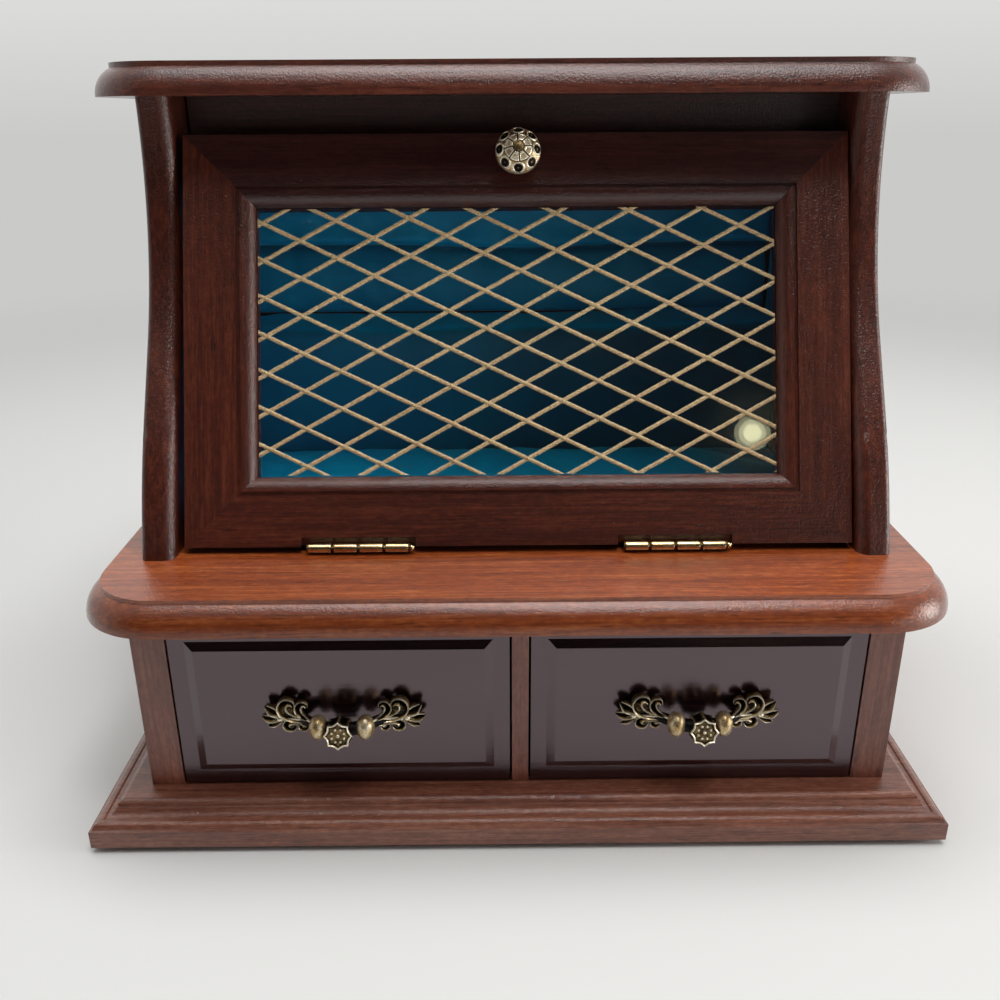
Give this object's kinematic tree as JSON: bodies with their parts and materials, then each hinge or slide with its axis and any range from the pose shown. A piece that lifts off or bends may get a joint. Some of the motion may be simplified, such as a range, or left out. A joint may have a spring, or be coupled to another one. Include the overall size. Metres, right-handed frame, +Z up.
{
  "type": "musical jewelry box",
  "caption": "Wooden musical jewelry box with a leaning glass door that opens forward, a padded compartment, two drawers, a moulded plinth and a winding key at the back.",
  "frame": {"origin": "centre of the bounding box in X and Y, on the surface that the feet stand on", "axes": "+X to the box's right as seen from its front, +Y to its back, +Z up; the front looks along -Y"},
  "size_m": [0.3084, 0.2212, 0.2654],
  "materials": {
    "stained_wood": "semi-gloss lacquer over red-brown stain",
    "glossy_drawer_wood": "gloss lacquer over dark stain",
    "plain_wood": "bare",
    "teal_satin": "satin",
    "drawer_lining": "felt",
    "clear_glass": "clear",
    "gold_print": "gold ink",
    "antique_brass": "antiqued, dark in the hollows",
    "bright_brass": "polished",
    "bright_steel": "bright",
    "black_plastic": "matte",
    "foot_rubber": "matte"
  },
  "bodies": {
    "base": {"plinth_board": "stained_wood", "plinth_moulding": "stained_wood", "case_side_left": "stained_wood", "case_side_right": "stained_wood", "case_back": "stained_wood", "drawer_divider": "stained_wood", "drawer_top_rail": "stained_wood", "waist_board": "stained_wood", "upright_left": "stained_wood", "upright_right": "stained_wood", "upper_back": "stained_wood", "header_rail": "stained_wood", "top_board": "stained_wood", "ledge_board": "plain_wood", "back_pad": "teal_satin", "floor_pad": "teal_satin", "side_lining_left": "teal_satin", "side_lining_right": "teal_satin", "ledge_pad": "teal_satin", "hinge_left_body_leaf": "bright_brass", "hinge_left_pin": "bright_brass", "hinge_right_body_leaf": "bright_brass", "hinge_right_pin": "bright_brass", "hinge_screws_body": "bright_brass", "movement_screws": "bright_steel", "music_comb": "bright_steel", "movement_bedplate": "bright_steel", "spring_housing": "bright_steel", "catch_magnet": "bright_steel", "foot_pads": "foot_rubber"},
    "door": {"door_rail_top": "stained_wood", "door_rail_bottom": "stained_wood", "door_stile_left": "stained_wood", "door_stile_right": "stained_wood", "glass_pane": "clear_glass", "gold_lattice": "gold_print", "glass_retainer": "plain_wood", "door_knob": "antique_brass", "knob_screw": "bright_steel", "catch_plate": "bright_steel", "hinge_left_door_leaf": "bright_brass", "hinge_right_door_leaf": "bright_brass", "hinge_screws_door": "bright_brass"},
    "drawer_left": {"drawer_left_front": "glossy_drawer_wood", "drawer_left_sides": "plain_wood", "drawer_left_bottom": "plain_wood", "drawer_left_lining": "drawer_lining", "drawer_left_pull": "antique_brass", "drawer_left_pull_screws": "bright_steel"},
    "drawer_right": {"drawer_right_front": "glossy_drawer_wood", "drawer_right_sides": "plain_wood", "drawer_right_bottom": "plain_wood", "drawer_right_lining": "drawer_lining", "drawer_right_pull": "antique_brass", "drawer_right_pull_screws": "bright_steel"},
    "winding": {"winding_key": "bright_brass", "drive_wheel": "bright_brass"},
    "cylinder": {"pin_cylinder": "bright_brass"},
    "fly": {"governor_fly": "bright_steel"},
    "stop": {"stop_slider": "black_plastic"}
  },
  "joints": [
    {"name": "door_hinge", "type": "hinge", "parent": "base", "child": "door", "pos_m": [0, -0.06672, 0.1002], "axis": [1, 0, 0], "range_deg": [0, 108]},
    {"name": "drawer_left_slide", "type": "slide", "parent": "base", "child": "drawer_left", "axis": [0, -1, 0], "range_m": [0, 0.13]},
    {"name": "drawer_right_slide", "type": "slide", "parent": "base", "child": "drawer_right", "axis": [0, -1, 0], "range_m": [0, 0.13]},
    {"name": "key_turn", "type": "hinge", "parent": "base", "child": "winding", "pos_m": [-0.009, 0.09262, 0.1199], "axis": [0, 1, 0], "continuous": true},
    {"name": "cylinder_turn", "type": "hinge", "parent": "base", "child": "cylinder", "pos_m": [0.006, 0.06726, 0.1199], "axis": [1, 0, 0], "continuous": true},
    {"name": "fly_turn", "type": "hinge", "parent": "base", "child": "fly", "pos_m": [0.0312, 0.07376, 0.1199], "axis": [0, 0, 1], "continuous": true},
    {"name": "stop_slide", "type": "slide", "parent": "base", "child": "stop", "axis": [1, 0, 0], "range_m": [0, 0.004]}
  ],
  "couplings": [
    {"joint": "cylinder_turn", "follows": "key_turn", "ratio": -4.5},
    {"joint": "fly_turn", "follows": "key_turn", "ratio": -18}
  ]
}
